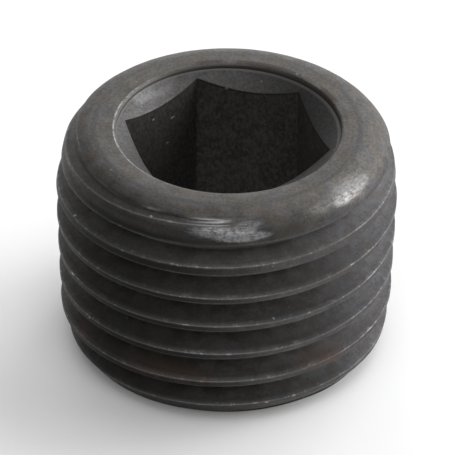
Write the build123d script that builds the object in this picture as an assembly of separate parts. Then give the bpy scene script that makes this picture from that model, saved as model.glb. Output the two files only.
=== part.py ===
from build123d import *
from math import atan, ceil, cos, degrees, radians, tan
import os

# Headless hexagon socket plug with a taper pipe thread over its whole length.
# It is one piece of steel: a blank is turned from bar, the thread is cut along
# it, and the socket is drilled and broached into the wide end.
# Lengths are in millimetres and angles in degrees. The origin is the middle of
# the small end, +Z runs up the axis to the socket's mouth, and +X passes
# through a corner of the socket.

# Thread: right-hand, Whitworth flanks, 19 to the inch, 1 in 16 on the diameter
THREAD_PITCH = 25.4 / 19
THREAD_ANGLE = 55.0           # between the flanks
THREAD_TAPER = 1 / 16         # growth of the diameter along the axis
GAUGE_DIAMETER = 13.157       # over the crests, at the gauge plane
GAUGE_LENGTH = 6.0            # from the small end up to the gauge plane
FLAT_WIDTH = 0.223            # of each crest and each root
THREAD_START = -86.0          # direction in which the groove leaves the small end

# Turned blank
LENGTH = 9.55
END_CHAMFER = 0.85            # height of the small end's chamfer
END_CHAMFER_ANGLE = 37.0      # from the axis
END_LEAD_LENGTH = 1.85        # the bottom turns lean inwards from this height down
END_LEAD_ANGLE = 10.5         # from the axis
LEAD_LENGTH = 2.7             # the top turns lean inwards over this height
LEAD_ANGLE = 8.0              # from the axis
SHOULDER_RADIUS = 1.4         # rounds the leaning side into the flat rim
RIM_SHARE = 0.9               # most of the rim's width that this rounding may take

# Socket
SOCKET_WIDTH = 7.0            # across flats
SOCKET_DEPTH = 5.8            # full hexagon, below the top
PILOT_UNDERSIZE = 0.2         # the drilled hole is this much under the width
PILOT_EXTRA_DEPTH = 0.1       # the hole's wall ends this far below the hexagon
DRILL_POINT_ANGLE = 118.0
MOUTH_CLEARANCE = 0.29        # from the hexagon's corners out to the mouth's wall
MOUTH_DEPTH = 0.2             # straight wall above the countersink
LIP_CHAMFER = 0.12            # breaks the edge between that wall and the rim
COUNTERSINK_ANGLE = 120.0

# How far a cutting shape reaches past the metal that it removes
END_MARGIN = 1.0
CREST_MARGIN = 0.12

TAPER_SLOPE = THREAD_TAPER / 2
SOCKET_CORNER_RADIUS = SOCKET_WIDTH / 2 / cos(radians(30))


def crest_radius(height):
    """Radius over the crests at this height above the small end."""
    return GAUGE_DIAMETER / 2 + (height - GAUGE_LENGTH) * TAPER_SLOPE


def cone_height(radius, point_angle):
    """Height of a cone with this base radius and full point angle."""
    return radius / tan(radians(point_angle / 2))


def turned_blank():
    """Revolve the blank: chamfered end, taper, rounded shoulder and countersunk mouth."""
    lead_height = LENGTH - LEAD_LENGTH
    lead_start = (crest_radius(lead_height), lead_height)
    shoulder = (lead_start[0] - LEAD_LENGTH * tan(radians(LEAD_ANGLE)), LENGTH)

    end_lead_start = (crest_radius(END_LEAD_LENGTH), END_LEAD_LENGTH)
    end_lead_drop = (END_LEAD_LENGTH - END_CHAMFER) * tan(radians(END_LEAD_ANGLE))
    chamfer_top = (end_lead_start[0] - end_lead_drop, END_CHAMFER)
    end_radius = chamfer_top[0] - END_CHAMFER * tan(radians(END_CHAMFER_ANGLE))
    mouth_radius = SOCKET_CORNER_RADIUS + MOUTH_CLEARANCE
    mouth_height = LENGTH - MOUTH_DEPTH
    lip = (mouth_radius, LENGTH)

    # A rounding of radius r takes up r * tan((90 - lead angle) / 2) of the rim's width
    rim_width = shoulder[0] - mouth_radius - LIP_CHAMFER
    widest_rounding = RIM_SHARE * rim_width / tan(radians((90 - LEAD_ANGLE) / 2))

    section = make_face(
        Polyline(
            (0, 0),
            (end_radius, 0),
            chamfer_top,
            end_lead_start,
            lead_start,
            shoulder,
            lip,
            (mouth_radius, mouth_height),
            (0, mouth_height - cone_height(mouth_radius, COUNTERSINK_ANGLE)),
            close=True,
        )
    )
    rounding = min(SHOULDER_RADIUS, widest_rounding)
    section = fillet(section.vertices().sort_by_distance(shoulder)[0], rounding)
    section = chamfer(section.vertices().sort_by_distance(lip)[0], LIP_CHAMFER)
    return revolve(Plane.XZ * section, Axis.Z)


def taper_turn(start_height, depth):
    """One turn of a helix that climbs the taper, this deep below the crests."""
    taper_angle = degrees(atan(TAPER_SLOPE))
    return Edge.make_helix(
        pitch=THREAD_PITCH / cos(radians(taper_angle)),
        height=THREAD_PITCH,
        radius=crest_radius(start_height) - depth,
        center=(0, 0, start_height),
        angle=taper_angle,
    )


def thread_groove():
    """The shape that the thread tool removes: a V with a flat root, wound up the taper."""
    flank_slope = tan(radians(THREAD_ANGLE / 2))
    root_half = FLAT_WIDTH / 2
    crest_half = (THREAD_PITCH - FLAT_WIDTH) / 2
    depth = (crest_half - root_half) / flank_slope
    mouth_half = crest_half + CREST_MARGIN * flank_slope
    section = (
        (-mouth_half, -CREST_MARGIN),
        (-root_half, depth),
        (root_half, depth),
        (mouth_half, -CREST_MARGIN),
    )

    # From one turn below the small end to the first whole turn clear of the top
    turns = ceil(LENGTH / THREAD_PITCH) + 2
    walls = []
    for turn in range(-1, turns - 1):
        edges = [taper_turn(turn * THREAD_PITCH + offset, deep) for offset, deep in section]
        walls += [
            Face.make_surface_from_curves(edge, following)
            for edge, following in zip(edges, edges[1:] + edges[:1])
        ]
        if turn == -1:
            walls.append(Face(Wire.make_polygon([edge @ 0 for edge in edges])))
    walls.append(Face(Wire.make_polygon([edge @ 1 for edge in edges])))
    return Solid(Shell(walls)).rotate(Axis.Z, THREAD_START)


def broached_socket():
    """The hexagon, and the drilled hole that it follows down to a pointed floor."""
    hexagon = RegularPolygon(SOCKET_WIDTH / 2, 6, major_radius=False)
    broached = extrude(Pos(0, 0, LENGTH - SOCKET_DEPTH) * hexagon, SOCKET_DEPTH + END_MARGIN)

    pilot_radius = (SOCKET_WIDTH - PILOT_UNDERSIZE) / 2
    pilot_floor = LENGTH - SOCKET_DEPTH - PILOT_EXTRA_DEPTH
    drill = make_face(
        Polyline(
            (0, pilot_floor - cone_height(pilot_radius, DRILL_POINT_ANGLE)),
            (pilot_radius, pilot_floor),
            (pilot_radius, LENGTH),
            (0, LENGTH),
            close=True,
        )
    )
    return broached + revolve(Plane.XZ * drill, Axis.Z)


threaded_plug = turned_blank() - thread_groove() - broached_socket()

os.makedirs("parts", exist_ok=True)
export_step(threaded_plug, "parts/threaded_plug.step")
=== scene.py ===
from functools import partial, reduce
from math import asin, atan2, cos, degrees, hypot, pi, radians, sin, sqrt, tan

import bmesh
import bpy
from mathutils import Matrix, Vector
from mathutils.noise import noise as wander


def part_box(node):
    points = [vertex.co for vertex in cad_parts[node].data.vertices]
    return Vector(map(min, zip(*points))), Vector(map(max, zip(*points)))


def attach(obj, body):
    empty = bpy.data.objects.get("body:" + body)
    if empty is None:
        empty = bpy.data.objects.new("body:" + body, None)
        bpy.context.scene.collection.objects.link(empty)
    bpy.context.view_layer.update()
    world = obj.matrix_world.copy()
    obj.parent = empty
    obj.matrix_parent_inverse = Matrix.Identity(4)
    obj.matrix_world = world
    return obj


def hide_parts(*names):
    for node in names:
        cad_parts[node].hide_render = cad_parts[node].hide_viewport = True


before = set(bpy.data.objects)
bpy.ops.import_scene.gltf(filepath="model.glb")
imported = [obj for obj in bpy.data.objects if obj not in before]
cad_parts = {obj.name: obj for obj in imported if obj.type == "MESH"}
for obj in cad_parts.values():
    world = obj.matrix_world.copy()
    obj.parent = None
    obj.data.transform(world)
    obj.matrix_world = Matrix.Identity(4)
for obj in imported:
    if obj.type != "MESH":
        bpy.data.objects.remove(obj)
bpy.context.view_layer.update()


# ---- Turned and threaded body ---------------------------------------------------
# One bar of free-cutting steel, turned to a slim taper with a rounded shoulder
# and a chamfered small end. A 55 degree thread is cut along all of it, and runs
# out in the shoulder and in the chamfer. Modelled in millimetres.
MM = 0.001
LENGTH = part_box("threaded_plug")[1][2] / MM
PITCH = 25.4 / 19
TAPER = 1 / 32                     # growth of the radius along the axis
GAUGE_RADIUS = 13.157 / 2          # over the crests, at the gauge height
GAUGE_HEIGHT = 6.0
FLAT = 0.223                       # width of each crest and root
FLANK = tan(radians(27.5))         # axial run of a flank for each mm of its depth
GROOVE_DEPTH = (PITCH / 2 - FLAT) / FLANK
THREAD_START = radians(-86.0)      # direction in which the groove leaves the small end
CREST_BREAK = 0.035                # softness of the crest's two edges
SHARPEST_CREST = 0.25              # share of it that is left where the groove fades out
ROOT_BLEND = 0.03                  # softness of the two corners of the root


def ramp(value, start, end):
    """0 at start, 1 at end, straight between and level beyond."""
    return min(max((value - start) / (end - start), 0), 1)


def soft_min(a, b, blend):
    """The lesser of two radii, rounded off where they cross."""
    nearness = max(blend - abs(a - b), 0) / blend
    return min(a, b) - nearness * nearness * blend / 4


def crest_radius(height):
    """Radius over the crests at this height."""
    return GAUGE_RADIUS + (height - GAUGE_HEIGHT) * TAPER


# The turned blank is chamfered and leans in at its small end, follows the taper, leans in
# again over the top turns, and is rounded into the rim. It ran a little off the thread's axis.
END_CHAMFER, END_CHAMFER_SLOPE = 0.85, tan(radians(37))
END_LEAD, END_LEAD_SLOPE = 1.85, tan(radians(10.5))
LEAD_LENGTH, LEAD_ANGLE = 2.7, radians(8)
SHOULDER_RADIUS = 1.4
TURN_BLEND = 0.03                  # softness of the corner where one cut meets the next
RUN_OUT = 0.04                     # how far off the axis it ran, at the shoulder
RUN_OUT_LENGTH = 1.5               # height over which that grows
RUN_OUT_TOWARD = radians(12.8)
lead_height = LENGTH - LEAD_LENGTH
chamfer_radius = crest_radius(END_LEAD) - (END_LEAD - END_CHAMFER) * END_LEAD_SLOPE
shoulder_middle = (
    crest_radius(lead_height) - LEAD_LENGTH * tan(LEAD_ANGLE)
    - SHOULDER_RADIUS * tan((pi / 2 - LEAD_ANGLE) / 2),
    LENGTH - SHOULDER_RADIUS,
)


def run_out(height, turned):
    """How far the turned surface lies off the thread's axis here."""
    grown = ramp(height, lead_height, lead_height + RUN_OUT_LENGTH)
    return RUN_OUT * grown * cos(turned - RUN_OUT_TOWARD)


def blank_radius(height, turned):
    """Radius of the turned blank, up to its rim."""
    above_middle = height - shoulder_middle[1]
    if above_middle > SHOULDER_RADIUS * sin(LEAD_ANGLE):
        radius = shoulder_middle[0] + sqrt(max(SHOULDER_RADIUS ** 2 - above_middle ** 2, 0))
    else:
        lead = crest_radius(lead_height) - (height - lead_height) * tan(LEAD_ANGLE)
        end_lead = crest_radius(END_LEAD) - (END_LEAD - height) * END_LEAD_SLOPE
        chamfer = chamfer_radius - (END_CHAMFER - height) * END_CHAMFER_SLOPE
        radius = soft_min(crest_radius(height), lead, TURN_BLEND)
        radius = soft_min(soft_min(radius, end_lead, TURN_BLEND), chamfer, TURN_BLEND)
    return radius + run_out(height, turned)


def thread_radius(offset, height):
    """Radius of the thread this far from the middle of a crest, with no blank to limit it."""
    from_root = PITCH / 2 - offset - FLAT / 2
    depth = soft_min(GROOVE_DEPTH, GROOVE_DEPTH - from_root / FLANK, ROOT_BLEND)
    return crest_radius(height) - depth


# Rows of the mesh from the middle of a crest out to the root, close together at each edge
EDGE_ZONE = 0.018
CREST_ROWS = (0.0, 0.02, 0.04, 0.06)
EDGE_ROWS = tuple(FLAT / 2 + EDGE_ZONE * step / 2 for step in range(-2, 3))
FLANK_ROWS = (0.22, 0.32, 0.42)
ROOT_ROWS = tuple(PITCH / 2 - FLAT / 2 + offset for offset in (-0.03, -0.01, 0.0, 0.01, 0.03))
HALF_ROWS = CREST_ROWS + EDGE_ROWS + FLANK_ROWS + ROOT_ROWS
EDGE_END, FLANK_END = FLAT / 2 + EDGE_ZONE, ROOT_ROWS[0]
WIDEST_EDGE = 0.44                 # most that a crest's edge may move out, to leave the flank rows
HALVINGS = 16                      # finds an edge to a hundredth of a micron


def crest_edge(middle, side, turned):
    """How far from the middle of a crest its flank meets the blank's surface."""
    near, far = 0.0, PITCH / 2 - FLAT
    for _ in range(HALVINGS):
        offset = (near + far) / 2
        height = middle + side * offset
        if thread_radius(offset, height) > blank_radius(height, turned):
            near = offset
        else:
            far = offset
    return min(near, WIDEST_EDGE)


def slid_row(row, edge):
    """Where a row comes to lie when the crest's edge is this far from its middle."""
    if row <= EDGE_ROWS[0]:
        return row * ((edge - EDGE_ZONE) / EDGE_ROWS[0])
    if row <= EDGE_END:
        return row + (edge - FLAT / 2)
    if row < FLANK_END:
        share = (row - EDGE_END) / (FLANK_END - EDGE_END)
        return edge + EDGE_ZONE + share * (FLANK_END - edge - EDGE_ZONE)
    return row


def draw_profile(name, points):
    """Extrude a wire through these (radius, height) points, as a new object in edit mode."""
    bpy.ops.mesh.primitive_plane_add(size=1, location=(0, 0, 0))
    piece = bpy.context.object
    piece.name = piece.data.name = name
    bpy.ops.object.mode_set(mode="EDIT")
    bpy.ops.mesh.select_all(action="SELECT")
    bpy.ops.mesh.merge(type="CENTER")
    radius, height = points[0]
    bpy.ops.transform.translate(value=(radius, 0, height))
    for (r0, z0), (r1, z1) in zip(points, points[1:]):
        bpy.ops.mesh.extrude_region_move(
            TRANSFORM_OT_translate={"value": (r1 - r0, 0, z1 - z0)}
        )
    return piece


def apply_modifier(piece, kind, **settings):
    """Add a modifier with these settings and apply it."""
    modifier = piece.modifiers.new(kind, kind)
    for key, value in settings.items():
        setattr(modifier, key, value)
    bpy.ops.object.modifier_apply(modifier=modifier.name)


# One pitch of the thread, from the middle of a root up to the next, is wound up the bar
COLUMNS = 288
WELD = 0.001                       # points nearer to each other than this are one
START_HEIGHT = -1.5 * PITCH - PITCH * THREAD_START / (2 * pi)
pitch_rows = [-row for row in reversed(HALF_ROWS)] + list(HALF_ROWS[1:])
profile = [(GAUGE_RADIUS, START_HEIGHT + row) for row in [-PITCH / 2] + pitch_rows + [PITCH / 2]]
bpy.ops.object.select_all(action="DESELECT")
plug = draw_profile("plug", profile)
bpy.ops.object.mode_set(mode="OBJECT")
apply_modifier(
    plug, "SCREW", axis="Z", angle=2 * pi, screw_offset=PITCH, iterations=int(LENGTH / PITCH) + 3,
    steps=COLUMNS, render_steps=COLUMNS, use_merge_vertices=True, merge_threshold=WELD,
)

# Each row slides to the crest's true edge in its column, and goes in to the thread or the
# blank. Each point also notes, from 0 to 1, what the finish finds there: a rubbed edge, the
# land of a crest, a flank, the groove's sheltered part, and the root, where shade is painted.
AREAS = ("edge_wear", "land", "flank", "deep", "root")
WEAR_REACH = 0.027                 # how far the rubbing reaches from a crest's edge
LOWER_EDGE_WEAR = 0.4              # how much of it the crest's lower edge takes
TIP_ABOVE = 0.5                    # where the groove runs out, from this far above a crest,
TIP_DEPTH = 0.13                   # and while it is shallower than this,
TIP_WEAR_REACH = 0.04              # it is rubbed this far to each side of its upper edge
SHELTER = (0.12, 0.48)             # where shelter begins and is full, above a crest's middle
ROOT_SHADE_ROWS = (0.53, 0.59)                # where the root's painted shade begins and is full, above a crest's middle
ROOT_SHADE_DEPTH = 0.015                 # and how far below the blank's surface it is full
MARKED_DEPTH = 0.02                # a groove this deep has worn edges and painted root shade in full,
SOFT_DEPTH = 0.15                  # one this deep has crests with fully softened edges,
DARK_DEPTH = 0.6                   # and one this deep has flanks with their full finish
WAVER = 0.008                      # how far the surfaces stray from true,
WAVES = ((1.1, 1.0), (3.7, 0.5))   # in waves of this many to the millimetre and this share
mesh = plug.data
for name in AREAS:
    mesh.attributes.new(name, "FLOAT", "POINT")
areas = [mesh.attributes[name].data for name in AREAS]
edges_found = {}
for vertex in mesh.vertices:
    x, y, z = vertex.co
    turned = atan2(y, x) % (2 * pi)
    rise = START_HEIGHT + PITCH * turned / (2 * pi)
    turn = round((z - rise) / PITCH)
    # A vertex in the middle of a root belongs to the crest below or above it alike
    middle = rise + turn * PITCH
    side = 1 if z > middle else -1
    key = (round(turned * COLUMNS / (2 * pi)), turn, side)
    if key not in edges_found:
        edges_found[key] = crest_edge(middle, side, turned)
    edge = edges_found[key]
    row = slid_row(abs(z - middle), edge)
    height = middle + side * row

    corner = middle + side * PITCH / 2 - FLAT / 2
    groove_here = blank_radius(corner, turned) - crest_radius(corner) + GROOVE_DEPTH
    threaded, turned_down = thread_radius(row, height), blank_radius(height, turned)
    softness = max(ramp(groove_here, 0, SOFT_DEPTH), SHARPEST_CREST)
    radius = soft_min(threaded, turned_down, CREST_BREAK * softness)
    true_place = Vector((radius * cos(turned), radius * sin(turned), height))
    radius += WAVER * sum(share * wander(true_place * scale) for scale, share in WAVES)
    vertex.co = (radius * cos(turned), radius * sin(turned), height)

    above_crest = row if side > 0 else PITCH - row
    below_blank = turned_down - threaded
    on_land = ramp(edge - row, -WEAR_REACH / 2, WEAR_REACH / 2)
    worn = max(1 - abs(row - edge) / WEAR_REACH, 0) * (1 if side > 0 else LOWER_EDGE_WEAR)
    if above_crest > TIP_ABOVE and 0 < groove_here < TIP_DEPTH and height > LENGTH / 2:
        worn = max(1 - abs(below_blank) / TIP_WEAR_REACH, 0)
    marked = ramp(groove_here, 0, MARKED_DEPTH)
    on_flank = ramp(groove_here, 0, DARK_DEPTH) * (1 - on_land)
    sheltered = on_flank * ramp(above_crest, *SHELTER)
    shaded_root = marked * (1 - on_land) * ramp(above_crest, *ROOT_SHADE_ROWS) * ramp(below_blank, 0, ROOT_SHADE_DEPTH)
    for area, value in zip(areas, (marked * worn, on_land, on_flank, sheltered, shaded_root)):
        area[vertex.index].value = value

# The small end is faced off flat, and its edge broken
END_BREAK = 0.035
END_WELD = 0.04                    # clears the slivers that the cut across the thread leaves
bpy.ops.object.mode_set(mode="EDIT")
bpy.ops.mesh.select_all(action="SELECT")
bpy.ops.mesh.remove_doubles(threshold=WELD / 2)
bpy.ops.mesh.bisect(
    plane_co=(0, 0, END_BREAK), plane_no=(0, 0, 1), use_fill=False, clear_inner=True,
)
bpy.ops.mesh.remove_doubles(threshold=END_WELD)
bpy.ops.mesh.edge_face_add()
bpy.ops.mesh.inset(thickness=END_BREAK, depth=-END_BREAK)

# The rim is carried on from the shoulder, ring by ring, to the socket's countersunk mouth
SOCKET_WIDTH = 7.0                 # across flats
SOCKET_CORNER = SOCKET_WIDTH / 2 / cos(radians(30))
MOUTH_CLEARANCE = 0.29             # from the hexagon's corners out to the mouth's wall
MOUTH_RADIUS = SOCKET_CORNER + MOUTH_CLEARANCE
MOUTH_DEPTH = 0.2                  # of the straight wall above the countersink
COUNTERSINK_SLOPE = tan(radians(30))  # fall for each mm inwards
LIP = 0.13                         # radius of the edge between that wall and the rim
JOIN_DEPTH = 0.22                  # the rings start this far below the rim,
FLAT_RIM_RADIUS = 4.7              # cross its flat part at this radius,
INNER_RADIUS = 3.3                 # and end at this one, where the drill will cut
JOIN_WELD = 0.06                   # clears slivers, as at the small end
JOIN_MARGIN, END_MARGIN = 0.01, 0.001  # points this near to either cut are on it
join_height = LENGTH - JOIN_DEPTH
join_angle = degrees(asin(1 - JOIN_DEPTH / SHOULDER_RADIUS))
lip_middle = (MOUTH_RADIUS + LIP, LENGTH - LIP)
inner_height = LENGTH - MOUTH_DEPTH - (MOUTH_RADIUS - INNER_RADIUS) * COUNTERSINK_SLOPE


def arc(middle, radius, start, end, steps):
    """Points along an arc, in (radius, height), from one angle to another."""
    angles = [radians(start + (end - start) * step / steps) for step in range(steps + 1)]
    return [(middle[0] + radius * cos(a), middle[1] + radius * sin(a)) for a in angles]


rings = arc(shoulder_middle, SHOULDER_RADIUS, join_angle, 90, steps=6)[1:]
rings += [(FLAT_RIM_RADIUS, LENGTH)]
rings += arc(lip_middle, LIP, 90, 180, steps=4)
rings += [(MOUTH_RADIUS, LENGTH - MOUTH_DEPTH), (INNER_RADIUS, inner_height)]

bpy.ops.mesh.select_all(action="SELECT")
bpy.ops.mesh.bisect(
    plane_co=(0, 0, join_height), plane_no=(0, 0, 1), use_fill=False, clear_outer=True,
)
bpy.ops.mesh.remove_doubles(threshold=JOIN_WELD)
at = (blank_radius(join_height, RUN_OUT_TOWARD + pi / 2), join_height)
rim_centre = (RUN_OUT * cos(RUN_OUT_TOWARD), RUN_OUT * sin(RUN_OUT_TOWARD), join_height)
for ring in rings:
    bpy.ops.mesh.extrude_edges_move()
    scale = ring[0] / at[0]
    bpy.ops.transform.resize(value=(scale, scale, 1), center_override=rim_centre)
    bpy.ops.transform.translate(value=(0, 0, ring[1] - at[1]))
    at = ring
bpy.ops.mesh.edge_face_add()
bpy.ops.mesh.select_all(action="SELECT")
bpy.ops.mesh.normals_make_consistent(inside=False)
bpy.ops.object.mode_set(mode="OBJECT")

# The rings and the flat end have copied what the thread's last points note, and lose it
for vertex in plug.data.vertices:
    if not END_MARGIN <= vertex.co.z <= join_height - JOIN_MARGIN:
        for name in AREAS:
            plug.data.attributes[name].data[vertex.index].value = 0


# ---- Hexagon socket -------------------------------------------------------------
# Drilled to a pointed floor, then broached to 7 mm across flats in one stroke. The
# broach stops just above that floor, on a ledge round what is left of the drilled hole.
SOCKET_DEPTH = 5.8
DRILL_RADIUS = 3.4
DRILL_DEPTH = SOCKET_DEPTH + 0.1
DRILL_POINT = radians(118)
DRILL_SIDES = 96
OVERSHOOT = 1.0                    # how far the cutting shapes stand out of the mouth
SOCKET_EDGE = 0.03                 # width of the broken edges
SHARP_TURN = radians(25)           # edges that turn more than this are broken,
MOUTH_ZONE = 0.1                   # but for the mouth's, from this far inside its wall
LEAST_WALL = 1.0                   # area over which an upright face is one of the socket's walls
UPRIGHT = 0.01                     # most that the normal of such a face may rise
drill_floor = LENGTH - DRILL_DEPTH
drill_tip = drill_floor - DRILL_RADIUS / tan(DRILL_POINT / 2)


def cut_away(piece, cutter):
    """Subtract the cutter from the piece, and delete the cutter."""
    bpy.ops.object.select_all(action="DESELECT")
    bpy.context.view_layer.objects.active = piece
    apply_modifier(piece, "BOOLEAN", operation="DIFFERENCE", solver="EXACT", object=cutter)
    bpy.data.objects.remove(cutter)


drill = [(DRILL_RADIUS, LENGTH + OVERSHOOT), (DRILL_RADIUS, drill_floor), (0, drill_tip)]
draw_profile("drill", drill)
bpy.ops.mesh.select_all(action="SELECT")
bpy.ops.mesh.spin(steps=DRILL_SIDES, angle=2 * pi, center=(0, 0, 0), axis=(0, 0, 1))
bpy.ops.mesh.select_all(action="SELECT")
bpy.ops.mesh.remove_doubles(threshold=WELD)
bpy.ops.mesh.select_all(action="DESELECT")
bpy.ops.mesh.select_non_manifold()
bpy.ops.mesh.edge_face_add()
bpy.ops.mesh.select_all(action="SELECT")
bpy.ops.mesh.normals_make_consistent(inside=False)
bpy.ops.object.mode_set(mode="OBJECT")
cut_away(plug, bpy.context.object)

bpy.ops.mesh.primitive_cylinder_add(
    vertices=6, radius=SOCKET_CORNER, depth=SOCKET_DEPTH + OVERSHOOT,
    location=(0, 0, LENGTH - (SOCKET_DEPTH - OVERSHOOT) / 2), rotation=(0, 0, radians(30)),
)
cut_away(plug, bpy.context.object)

# The edges that the broach and the drill leave are broken, apart from the upright ones.
# The mouth's own edges were rounded or left sharp as the rings were drawn.
bpy.context.view_layer.objects.active = plug
bpy.ops.object.mode_set(mode="EDIT")
bpy.ops.mesh.select_all(action="DESELECT")
bpy.ops.mesh.select_mode(type="EDGE")
bpy.ops.mesh.edges_select_sharp(sharpness=SHARP_TURN)
plug_mesh = bmesh.from_edit_mesh(plug.data)
for edge in plug_mesh.edges:
    upright = abs(edge.verts[0].co.z - edge.verts[1].co.z) > SOCKET_DEPTH / 2
    reach = max(hypot(vert.co.x, vert.co.y) for vert in edge.verts)
    if upright or reach > MOUTH_RADIUS - MOUTH_ZONE:
        edge.select_set(False)
bmesh.update_edit_mesh(plug.data)
bpy.ops.mesh.bevel(offset=SOCKET_EDGE, segments=2, affect="EDGES")

# The socket's flat walls are shaded flat up to their borders
bpy.ops.mesh.select_mode(type="FACE")
bpy.ops.mesh.select_all(action="DESELECT")
plug_mesh = bmesh.from_edit_mesh(plug.data)
for face in plug_mesh.faces:
    centre = face.calc_center_median()
    if hypot(centre.x, centre.y) < SOCKET_WIDTH and abs(face.normal.z) < UPRIGHT:
        face.select_set(face.calc_area() > LEAST_WALL)
bmesh.update_edit_mesh(plug.data)
bpy.ops.mesh.region_to_loop()
bpy.ops.mesh.mark_sharp()

# The piece goes to metres, and its flat ends stay a hair inside the solid's
END_GAP = 1e-9
bpy.ops.mesh.select_mode(type="VERT")
bpy.ops.mesh.select_all(action="SELECT")
bpy.ops.transform.resize(value=(MM, MM, MM), center_override=(0, 0, 0))
bpy.ops.object.mode_set(mode="OBJECT")
for vertex in plug.data.vertices:
    vertex.co.z = min(max(vertex.co.z, END_GAP), LENGTH * MM - END_GAP)
bpy.ops.object.select_all(action="DESELECT")
plug.select_set(True)
bpy.ops.object.shade_smooth_by_angle(angle=radians(35))
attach(plug, "root")
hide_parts("threaded_plug")


# ---- Black oxide finish ---------------------------------------------------------
# The turned steel is blackened in a hot salt bath, oiled, and then tumbled with other
# plugs. The coat is a satin brown-black, rubbed through to bright steel on the shoulder
# and along the crests, and tinged with rust low on the thread.
black_oxide = bpy.data.materials.new("black_oxide")
black_oxide.use_nodes = True
tree = black_oxide.node_tree
shader = tree.nodes["Principled BSDF"]


def node(kind, inputs, output=0, **settings):
    """Add a shader node, give its inputs values or links, and return one of its outputs."""
    new = tree.nodes.new("ShaderNode" + kind)
    for key, value in settings.items():
        setattr(new, key, value)
    for name, value in inputs.items():
        if isinstance(value, bpy.types.NodeSocket):
            tree.links.new(value, new.inputs[name])
        else:
            new.inputs[name].default_value = value
    return new.outputs[output]


def maths(operation, *values):
    """One scalar sum."""
    return node("Math", dict(enumerate(values)), operation=operation)


def product(*values):
    """All of these values multiplied together."""
    return reduce(partial(maths, "MULTIPLY"), values)


def strongest(*masks):
    """The highest of these masks."""
    return reduce(partial(maths, "MAXIMUM"), masks)


def scaled(vector, factor):
    """The vector or colour, made this many times as great."""
    return node("VectorMath", {0: vector, "Scale": factor}, operation="SCALE")


def vector_maths(operation, first, second):
    """One sum of two vectors."""
    return node("VectorMath", {0: first, 1: second}, operation=operation)


def length(vector):
    """The length of the vector."""
    return node("VectorMath", {0: vector}, output="Value", operation="LENGTH")


def step_up(value, low, high):
    """0 at low, 1 at high and beyond it, smooth between. Low may be the greater of the two."""
    ranged = {"Value": value, "From Min": low, "From Max": high}
    return node("MapRange", ranged, interpolation_type="SMOOTHSTEP")


def noise(vector, scale, detail=3.0, roughness=0.6):
    """Cloudy noise from 0 to 1, this many features to the millimetre."""
    inputs = {"Vector": vector, "Scale": scale, "Detail": detail, "Roughness": roughness}
    return node("TexNoise", inputs)


def mix_colours(share, first, second):
    """The second colour over the first."""
    return node("Mix", {0: share, 6: first, 7: second}, output=2, data_type="RGBA")


def mix_values(share, first, second):
    """The second value over the first."""
    return node("Mix", {0: share, 2: first, 3: second}, data_type="FLOAT")


def noted(area):
    """What the thread's points note of this area, from 0 to 1."""
    return node("Attribute", {}, output="Fac", attribute_name=area)


# Directions round the axis are in degrees from +X towards +Y, and lengths are in millimetres
surface = node("TexCoord", {}, output="Object")
place = scaled(surface, 1 / MM)
parts = tree.nodes.new("ShaderNodeSeparateXYZ")
tree.links.new(place, parts.inputs[0])
along_x, along_y, height_up = parts.outputs
across = vector_maths("MULTIPLY", place, (1, 1, 0))
out_from_axis = length(across)


def side_facing(angle):
    """1 on the side that faces this direction, -1 on the opposite one."""
    direction = (cos(radians(angle)), sin(radians(angle)), 0)
    outwards = node("VectorMath", {0: across}, operation="NORMALIZE")
    inputs = {0: outwards, 1: direction}
    return node("VectorMath", inputs, output="Value", operation="DOT_PRODUCT")


def band(radius, gone, full):
    """A band round the axis: full this near to the radius, and gone this far from it."""
    away = maths("ABSOLUTE", maths("SUBTRACT", out_from_axis, radius))
    return step_up(away, gone, full)


PATCH_CORE = 0.45                  # share of a patch's reach over which it is full


def patch(angle, height, radius, along, up, ragged, tear=1.2):
    """A ragged patch at this direction and height, reaching this far round and up."""
    turned = radians(angle)
    at = (radius * cos(turned), radius * sin(turned), height)
    mapping = {"Vector": place, "Location": at, "Rotation": (0, 0, turned), "Scale": (1, along, up)}
    away = length(node("Mapping", mapping, vector_type="TEXTURE"))
    torn_away = maths("MULTIPLY_ADD", ragged, tear, away)
    return step_up(torn_away, 1.0 + tear / 2, PATCH_CORE + tear / 2)


def turned_streaks(along, between, detail, roughness):
    """Noise drawn out round the axis: so many features to the millimetre along and between."""
    streaked = node("CombineXYZ", {
        "X": maths("MULTIPLY", along_x, along),
        "Y": maths("MULTIPLY", along_y, along),
        "Z": maths("MULTIPLY", maths("SUBTRACT", height_up, out_from_axis), between),
    })
    return noise(streaked, 1.0, detail, roughness)


# Marks of the turning tool run round the rim, and those of the thread tool along the helix
MARKS_ACROSS, MARKS_ALONG = 5.0, 0.5  # fineness of the thread tool's marks
RIM_ZONE = (LENGTH - 0.75, LENGTH - 0.45)  # where they give way to the turning tool's
turning_marks = turned_streaks(along=0.3, between=8.0, detail=4.0, roughness=0.7)
helix_angle = maths(
    "SUBTRACT", maths("MULTIPLY", height_up, 2 * pi / PITCH), maths("ARCTAN2", along_y, along_x),
)
helix_place = node("CombineXYZ", {
    "X": maths("ADD", maths("MULTIPLY", maths("COSINE", helix_angle), MARKS_ACROSS),
               maths("MULTIPLY", along_x, MARKS_ALONG)),
    "Y": maths("ADD", maths("MULTIPLY", maths("SINE", helix_angle), MARKS_ACROSS),
               maths("MULTIPLY", along_y, MARKS_ALONG)),
    "Z": maths("MULTIPLY", height_up, MARKS_ALONG),
})
thread_marks = noise(helix_place, 1.0, detail=4.0, roughness=0.65)
tool_marks = mix_values(step_up(height_up, *RIM_ZONE), thread_marks, turning_marks)

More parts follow.
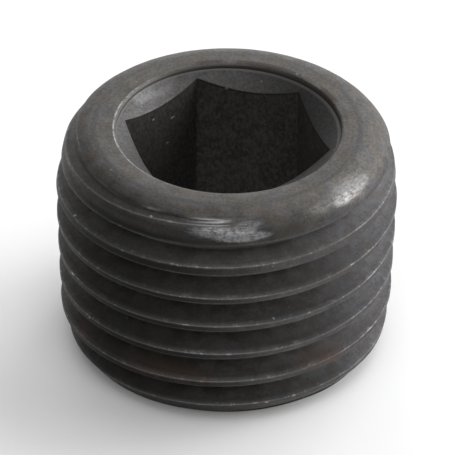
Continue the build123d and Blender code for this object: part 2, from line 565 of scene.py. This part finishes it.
# Oxide: brown-black, a little mottled, with bluer and browner areas
OXIDE_DARK = (0.060, 0.056, 0.0515, 1)
OXIDE_LIGHT = (0.112, 0.107, 0.101, 1)
OXIDE_BLUE = (0.075, 0.077, 0.087, 1)
OXIDE_BROWN = (0.092, 0.076, 0.062, 1)
BLUE_SHARE, BROWN_SHARE = 0.5, 0.55
MARKS_SHARE, CLOUDS_SHARE = 0.45, 0.45
HUES_OFFSET = (7.3, 1.9, 4.1)      # keeps this noise clear of the clouds
grain = noise(place, 9.0)
clouds = noise(place, 1.6, detail=4.0)
hues = noise(vector_maths("ADD", place, HUES_OFFSET), 1.5, detail=4.0, roughness=0.65)
texture = mix_values(MARKS_SHARE, grain, tool_marks)
tone = mix_values(CLOUDS_SHARE, texture, clouds)
oxide = mix_colours(step_up(tone, 0.35, 0.65), OXIDE_DARK, OXIDE_LIGHT)
oxide = mix_colours(product(step_up(hues, 0.51, 0.66), BLUE_SHARE), oxide, OXIDE_BLUE)
oxide = mix_colours(product(step_up(hues, 0.50, 0.33), BROWN_SHARE), oxide, OXIDE_BROWN)

# Just above each crest the flank is painted darker, as painted shade, and deeper in the groove
# it is painted lighter, as painted light. The root is painted darker still, as painted shade.
SHADE_BLACK = (0.024, 0.022, 0.020, 1)
FLANK_SHADE_TONE = 0.5                  # as a share of the oxide's own
GROOVE_LIGHT_TONE = (1.1, 1.8)             # the same, where the groove is lightened least and most
ROOT_SHADE_SHARE = 0.6
in_root, in_groove, on_flank = noted("root"), noted("deep"), noted("flank")
outer_flank = product(on_flank, maths("SUBTRACT", 1.0, in_groove))
lit_groove = scaled(oxide, mix_values(step_up(hues, 0.35, 0.65), *GROOVE_LIGHT_TONE))
shaded_flank = scaled(oxide, FLANK_SHADE_TONE)
oxide = mix_colours(outer_flank, mix_colours(in_groove, oxide, lit_groove), shaded_flank)
oxide = mix_colours(product(in_root, ROOT_SHADE_SHARE), oxide, SHADE_BLACK)

# Round one side the lands are painted nearly black, and the coat near the top darker, as painted
# shade
SHADED_SIDE = -135
LAND_SHADE_BLACK = (0.011, 0.0105, 0.010, 1)
SHADED_LANDS_BELOW = (8.8, 8.45)       # from none at the one height to all at the other
SHADED_TOP_BELOW = (9.4, 9.1)
TOP_SHADE = 0.22
facing_shaded = side_facing(SHADED_SIDE)
shaded_lands = product(
    step_up(facing_shaded, 0.1, 0.9), step_up(height_up, *SHADED_LANDS_BELOW), noted("land"),
)
oxide = mix_colours(shaded_lands, oxide, LAND_SHADE_BLACK)
shaded_top = product(step_up(facing_shaded, 0.1, 0.8), step_up(height_up, *SHADED_TOP_BELOW))
oxide = mix_colours(product(shaded_top, TOP_SHADE), oxide, SHADE_BLACK)

# Towards +X the foot of the shoulder is painted darker again, as painted shade, and the whole
# coat is a cooler black
COOL_SIDE = 12.8
COOL_BELOW = (9.2, 8.6)
COOL_TINT = (0.93, 0.95, 1.05)
FOOT_SHADE = 0.4
foot = patch(-18, 8.86, 6.2, 4.5, 0.35, clouds)
oxide = mix_colours(product(foot, FOOT_SHADE), oxide, SHADE_BLACK)
cool = product(step_up(side_facing(COOL_SIDE), 0.2, 0.95), step_up(height_up, *COOL_BELOW))
oxide = mix_colours(cool, oxide, vector_maths("MULTIPLY", oxide, COOL_TINT))

# The socket's walls are torn by the broach, and dry and dusty, so they scatter more light.
# One wall is cleaner.
TORN_DARK, TORN_DUSTY = (0.050, 0.047, 0.045, 1), (0.165, 0.152, 0.146, 1)
TEARS = (9, 9, 6)                  # so many to the millimetre across and down
CLEAN_SIDE, CLEAN_TONE = 150, 0.55
CLEAN_FACING = (0.85, 0.88)        # keeps to that one wall,
CLEAN_OUT = (3.42, 3.48)           # and off the drilled floor
SOCKET_OUT = (4.3, 4.2)            # keeps to the hexagon, inside the mouth's wall
cone_top = maths(
    "MULTIPLY_ADD", out_from_axis, COUNTERSINK_SLOPE,
    LENGTH - MOUTH_DEPTH - MOUTH_RADIUS * COUNTERSINK_SLOPE,
)
below_cone = step_up(maths("SUBTRACT", cone_top, height_up), 0.02, 0.1)
in_socket = product(below_cone, step_up(out_from_axis, *SOCKET_OUT))
torn = noise(vector_maths("MULTIPLY", place, TEARS), 1.0, detail=5.0, roughness=0.8)
torn_tone = step_up(mix_values(0.15, torn, clouds), 0.34, 0.66)
torn_steel = mix_colours(torn_tone, TORN_DARK, TORN_DUSTY)
clean = product(
    step_up(side_facing(CLEAN_SIDE), *CLEAN_FACING), step_up(out_from_axis, *CLEAN_OUT),
)
torn_steel = mix_colours(clean, torn_steel, scaled(torn_steel, CLEAN_TONE))
oxide = mix_colours(in_socket, oxide, torn_steel)

# The countersink is paler and speckled, with painted shade round one side, and painted light
# in the corner under the lip
SPECKLE_DARK, SPECKLE_LIGHT = (0.052, 0.051, 0.052, 1), (0.100, 0.098, 0.099, 1)
SPECKLED = 0.75
MOUTH_OUT = (4.36, 4.33)           # keeps the speckle inside the lip
SHADED_MOUTH_SIDE, MOUTH_SHADE = 33, 0.33
CORNER_LIGHT = (0.108, 0.100, 0.094, 1)
CORNER_INNER, CORNER_OUTER = (4.22, 4.30), (4.42, 4.36)  # it lies between these two
CORNER_BELOW = (LENGTH - 0.02, LENGTH - 0.07)
in_mouth = product(maths("SUBTRACT", 1.0, in_socket), step_up(out_from_axis, *MOUTH_OUT))
speckled = mix_colours(step_up(torn, 0.36, 0.66), SPECKLE_DARK, SPECKLE_LIGHT)
oxide = mix_colours(product(in_mouth, SPECKLED), oxide, speckled)
shaded_mouth = product(in_mouth, step_up(side_facing(SHADED_MOUTH_SIDE), -0.6, 0.6))
oxide = mix_colours(product(shaded_mouth, MOUTH_SHADE), oxide, SHADE_BLACK)
under_lip = product(
    step_up(out_from_axis, *CORNER_INNER), step_up(out_from_axis, *CORNER_OUTER),
    step_up(height_up, *CORNER_BELOW),
)
oxide = mix_colours(under_lip, oxide, CORNER_LIGHT)

# A ring of painted shade, darker and bluer, lies where the rounding starts, and a brown stain
# behind the lip
SHADE_RING_BLUE = (0.052, 0.053, 0.058, 1)
RING_RADIUS, RING_SHARE = 5.14, 0.6
RING_ABOVE = (9.3, 9.4)
OIL_BROWN = (0.040, 0.032, 0.027, 1)
STAIN_RADIUS, STAIN_SHARE = 4.53, 0.75
shade_ring = product(
    band(RING_RADIUS, 0.16, 0.02), step_up(height_up, *RING_ABOVE), step_up(clouds, 0.35, 0.6),
)
oxide = mix_colours(product(shade_ring, RING_SHARE), oxide, SHADE_RING_BLUE)
stain = strongest(
    patch(82, LENGTH, 4.55, 1.9, 0.5, grain, 1.6),
    patch(112, LENGTH, 4.47, 0.7, 0.5, grain, 1.6),
    patch(42, LENGTH, 4.52, 0.8, 0.5, grain, 1.6),
)
stain = product(stain, band(STAIN_RADIUS, 0.16, 0.05))
oxide = mix_colours(product(stain, STAIN_SHARE), oxide, OIL_BROWN)

# Rust tinges two turns low on the thread
RUST, RUST_SHARE = (0.104, 0.064, 0.046, 1), 0.65
rust = strongest(
    patch(-100, 2.3, 6.2, 2.6, 0.5, clouds, 1.4),
    patch(-41, 2.5, 6.1, 1.5, 0.6, clouds, 1.4),
    patch(-140, 2.1, 6.2, 1.0, 0.5, clouds, 1.4),
    patch(-60, 1.4, 6.2, 1.0, 0.2, clouds, 1.4),
)
rust = product(rust, step_up(mix_values(0.5, grain, tool_marks), 0.38, 0.58))
oxide = mix_colours(product(rust, RUST_SHARE), oxide, RUST)

# Pin-head specks of dust and scale, light and dark. The socket has more of the light ones.
SPECKS = 2.2                       # cells to the millimetre, few of which hold a speck
SOCKET_SPECKS = 0.12               # share of the cells by which more hold one in the socket
DUST, DUST_SHARE = (0.24, 0.22, 0.205, 1), 0.55
SCALE_BLACK, SCALE_SHARE = (0.022, 0.020, 0.020, 1), 0.6
cells = tree.nodes.new("ShaderNodeTexVoronoi")
cells.inputs["Scale"].default_value = SPECKS
tree.links.new(place, cells.inputs["Vector"])
cell_kind = tree.nodes.new("ShaderNodeSeparateColor")
tree.links.new(cells.outputs["Color"], cell_kind.inputs[0])
dot = step_up(cells.outputs["Distance"], 0.13, 0.05)
light_kind = maths("MULTIPLY_ADD", in_socket, SOCKET_SPECKS, cell_kind.outputs["Red"])
light_specks = product(dot, step_up(light_kind, 0.86, 0.90))
dark_specks = product(dot, step_up(cell_kind.outputs["Green"], 0.90, 0.94))
oxide = mix_colours(product(light_specks, DUST_SHARE), oxide, DUST)
oxide = mix_colours(product(dark_specks, SCALE_SHARE), oxide, SCALE_BLACK)

# Bare steel shows where other plugs have rubbed the shoulder and the countersink. Each such
# place has its brightness, then its direction, height and radius, its reach round and up, the
# noise that breaks it up, and how far that tears it.
STEEL = (0.70, 0.70, 0.72, 1)
smears = turned_streaks(along=2.5, between=9.0, detail=6.0, roughness=0.8)
pits = noise(place, 5.0, detail=6.0, roughness=0.85)
RUBBED_PLACES = (
    (1.00, -73.0, 8.82, 6.23, 1.4, 0.24, smears, 1.2),
    (1.00, -68.0, 8.82, 6.23, 0.9, 0.17, smears, 0.8),
    (0.25, -69.0, 9.16, 5.97, 0.6, 0.13, smears, 1.2),
    (0.35, -71.5, 9.02, 6.08, 0.8, 0.16, smears, 1.4),
    (0.60, -80.0, 8.92, 6.15, 1.4, 0.26, smears, 1.6),
    (0.17, -25.0, 9.22, 5.90, 1.5, 0.42, pits, 1.8),
    (0.34, -28.5, 9.12, 5.98, 0.9, 0.24, pits, 1.2),
    (0.12, -40.0, 9.20, 5.91, 0.9, 0.18, pits, 1.6),
    (0.13, 154.0, 9.27, 4.17, 0.9, 0.25, pits, 1.8),
    (0.08, 146.0, 9.25, 4.12, 1.2, 0.35, pits, 1.4),
)
rubbed = strongest(*(product(patch(*where), bright) for bright, *where in RUBBED_PLACES))
LEAST_SCOURED = 0.2                # brightness left where a rubbed place is least scoured
scoured = step_up(mix_values(0.5, smears, pits), 0.43, 0.56)
rubbed = product(rubbed, mix_values(scoured, LEAST_SCOURED, 1.0))

# Steel shows in flecks along the crests' edges too, set brighter on the shaded side and dimmer
# on the cool side as a painted highlight, and a painted highlight runs as a line along the lip
EDGE_BRIGHT = (0.11, 0.21)         # between the flecks, away from the shaded side and on it
FLECK_BRIGHT = 0.6
COOL_EDGES = 0.5                   # share of their brightness that edges have on the cool side
TOP_EDGE_BRIGHT = 0.42             # of the edge that crosses the rubbed shoulder
LIP_HIGHLIGHT_SIDE, LIP_HIGHLIGHT_RADIUS, LIP_HIGHLIGHT_BRIGHT = 200, 4.385, 0.3
flecks = noise(place, 3.5, detail=5.0, roughness=0.8)
plain_edge = mix_values(step_up(facing_shaded, -0.3, 0.6), *EDGE_BRIGHT)
bright_edge = mix_values(step_up(flecks, 0.52, 0.64), plain_edge, FLECK_BRIGHT)
bright_edge = product(bright_edge, mix_values(cool, 1.0, COOL_EDGES))
top_edge = product(patch(-80.0, 9.26, 5.84, 1.9, 0.28, flecks), TOP_EDGE_BRIGHT)
crest_edges = product(noted("edge_wear"), strongest(bright_edge, top_edge))
lip_highlight = product(
    band(LIP_HIGHLIGHT_RADIUS, 0.045, 0.015), step_up(side_facing(LIP_HIGHLIGHT_SIDE), 0.35, 0.95),
    step_up(flecks, 0.35, 0.65), LIP_HIGHLIGHT_BRIGHT,
)

# Small knocks: the direction, height, radius and size of each
KNOCKS = (
    (-141.0, 7.34, 6.47, 0.05), (-105.3, 9.07, 6.01, 0.045), (-117.6, 3.70, 6.46, 0.06),
    (-130.8, 3.23, 6.49, 0.05), (-60.5, 4.96, 6.41, 0.035), (-62.2, 0.90, 6.27, 0.06),
    (-52.1, 0.96, 6.26, 0.06), (-141.9, 4.55, 6.53, 0.08), (139.7, 8.02, 3.70, 0.08),
    (157.1, 8.45, 3.75, 0.06), (144.2, 6.97, 3.70, 0.06), (103.5, 8.89, 3.58, 0.07),
)
KNOCK_ALONG, KNOCK_UP, KNOCK_TEAR, KNOCK_BRIGHT = 1.6, 0.8, 1.6, 0.5
fine = noise(place, 16.0, detail=2.0, roughness=0.7)
knocked = strongest(*(
    patch(angle, height, radius, size * KNOCK_ALONG, size * KNOCK_UP, fine, KNOCK_TEAR)
    for angle, height, radius, size in KNOCKS
))
wear_and_highlights = strongest(rubbed, crest_edges, lip_highlight, product(knocked, KNOCK_BRIGHT))
tree.links.new(mix_colours(wear_and_highlights, oxide, STEEL), shader.inputs["Base Color"])

# The coat is satin and bare steel is smoother. Dry, rusty and dusty places are dull, and
# reflect less as a metal does.
ROUGH_COAT, ROUGH_STEEL, ROUGH_DRY = (0.60, 0.46), 0.30, 0.75
METAL_COAT, METAL_CORNER, METAL_SOCKET, METAL_GROOVE, METAL_DUST = 0.9, 0.4, 0.5, 0.2, 0.3
rough = mix_values(step_up(grain, 0.3, 0.7), *ROUGH_COAT)
rough = mix_values(in_socket, rough, ROUGH_DRY)
rough = mix_values(strongest(rust, light_specks), rough, ROUGH_DRY)
tree.links.new(mix_values(wear_and_highlights, rough, ROUGH_STEEL), shader.inputs["Roughness"])
metal = mix_values(in_socket, mix_values(under_lip, METAL_COAT, METAL_CORNER), METAL_SOCKET)
metal = mix_values(in_groove, metal, METAL_GROOVE)
metal = mix_values(strongest(product(rust, 0.5), light_specks), metal, METAL_DUST)
tree.links.new(metal, shader.inputs["Metallic"])

# The grain and the tool's marks, the torn walls, the dark specks and the pits can be felt
RELIEF, RELIEF_SHARE = 0.005, 0.5
SPECK_RELIEF, PIT_RELIEF = 0.8, 1.5
relief = mix_values(in_socket, texture, torn)
relief = maths("SUBTRACT", relief, product(dark_specks, SPECK_RELIEF))
relief = maths("ADD", relief, product(rubbed, pits, PIT_RELIEF))
bumps = node("Bump", {"Strength": RELIEF_SHARE, "Distance": RELIEF * MM, "Height": relief})
tree.links.new(bumps, shader.inputs["Normal"])
plug.data.materials.clear()
plug.data.materials.append(black_oxide)


# ---- Ground ---------------------------------------------------------------------
# A white matt table, wide enough to fill every view from above. It shows white to the
# camera and in the metal's reflections, and keeps a soft shadow.
FLOOR_WIDTH = 3.0                  # in metres
FLOOR_WHITE = 0.86
FLOOR_GLOW = 0.1                   # added where the camera or a reflection sees it
bpy.ops.mesh.primitive_plane_add(size=FLOOR_WIDTH, location=(0, 0, 0))
floor = bpy.context.object
floor.name = "floor"
matt_white = bpy.data.materials.new("matt_white")
matt_white.use_nodes = True
tree = matt_white.node_tree        # where the helpers add their nodes from here on
matt = tree.nodes["Principled BSDF"]
matt.inputs["Base Color"].default_value = (FLOOR_WHITE, FLOOR_WHITE, FLOOR_WHITE, 1)
matt.inputs["Roughness"].default_value = 1.0
matt.inputs["Specular IOR Level"].default_value = 0.0
matt.inputs["Emission Color"].default_value = (1, 1, 1, 1)
ray = tree.nodes.new("ShaderNodeLightPath")
seen = strongest(*(ray.outputs[f"Is {kind} Ray"] for kind in ("Camera", "Glossy", "Transmission")))
tree.links.new(product(seen, FLOOR_GLOW), matt.inputs["Emission Strength"])
floor.data.materials.append(matt_white)


# ---- Camera ---------------------------------------------------------------------
# A long lens on a tall stand, a quarter of a metre off. It looks down on the plug from 13
# degrees round from -Y, and leans by half a degree.
AZIMUTH, ELEVATION, ROLL = radians(12.8), radians(35.5), radians(0.6)
CAMERA_DISTANCE = 249.85 * MM
AIM_ASIDE, AIM_DEPTH = 0.05, 4.739  # it aims this far to the right of the axis and below the rim
FOCAL_LENGTH, SENSOR_WIDTH = 508.7, 36
NEAREST, FARTHEST = 0.01, 10       # in metres
aim = Vector((AIM_ASIDE * cos(AZIMUTH), AIM_ASIDE * sin(AZIMUTH), LENGTH - AIM_DEPTH)) * MM


def pointing(bearing, elevation):
    """One unit from the middle, round from -Y by this bearing and up by this elevation."""
    level = cos(elevation)
    return Vector((sin(bearing) * level, -cos(bearing) * level, sin(elevation)))


back = pointing(AZIMUTH, ELEVATION)
camera = bpy.data.objects.new("camera", bpy.data.cameras.new("camera"))
bpy.context.collection.objects.link(camera)
camera.rotation_mode = "QUATERNION"
camera.location = aim + back * CAMERA_DISTANCE
turned_to = (-back).to_track_quat("-Z", "Y")
camera.rotation_quaternion = turned_to @ Matrix.Rotation(ROLL, 4, "Z").to_quaternion()
camera.data.lens = FOCAL_LENGTH
camera.data.sensor_width = SENSOR_WIDTH
camera.data.clip_start = NEAREST
camera.data.clip_end = FARTHEST
bpy.context.scene.camera = camera


# ---- Soft light -----------------------------------------------------------------
# Round softboxes stand about the table, most of their light coming from the right and from
# behind. Each has its bearing from the camera's side, its height, its width and its watts.
LAMP_DISTANCE = 0.5                # in metres
ROOM_GREY = 0.02
LAMPS = (
    ("front", 0, 62, 0.45, 0.82),
    ("top", 0, 88, 0.35, 0.25),
    ("right_high", 130, 45, 0.45, 1.1),
    ("back_high", 180, 45, 0.45, 0.5),
    ("left_high", 240, 45, 0.45, 0.1),
    ("right_low", 100, 15, 0.45, 2.5),
    ("back_right_low", 130, 15, 0.45, 0.55),
    ("back_low", 165, 15, 0.45, 0.6),
    ("back_left_low", 200, 15, 0.45, 0.45),
)
for name, bearing, height, size, watts in LAMPS:
    toward = pointing(radians(bearing) + AZIMUTH, radians(height))
    lamp = bpy.data.objects.new(name, bpy.data.lights.new(name, "AREA"))
    bpy.context.collection.objects.link(lamp)
    lamp.data.shape = "DISK"
    lamp.data.size = size
    lamp.data.energy = watts
    lamp.location = toward * LAMP_DISTANCE
    lamp.rotation_euler = toward.to_track_quat("Z", "Y").to_euler()

room = bpy.data.worlds.new("room")
bpy.context.scene.world = room
room.use_nodes = True
background = room.node_tree.nodes["Background"]
background.inputs["Color"].default_value = (ROOM_GREY, ROOM_GREY, ROOM_GREY, 1)
bpy.context.scene.view_settings.view_transform = "Standard"


# ---- The end
bpy.context.view_layer.update()
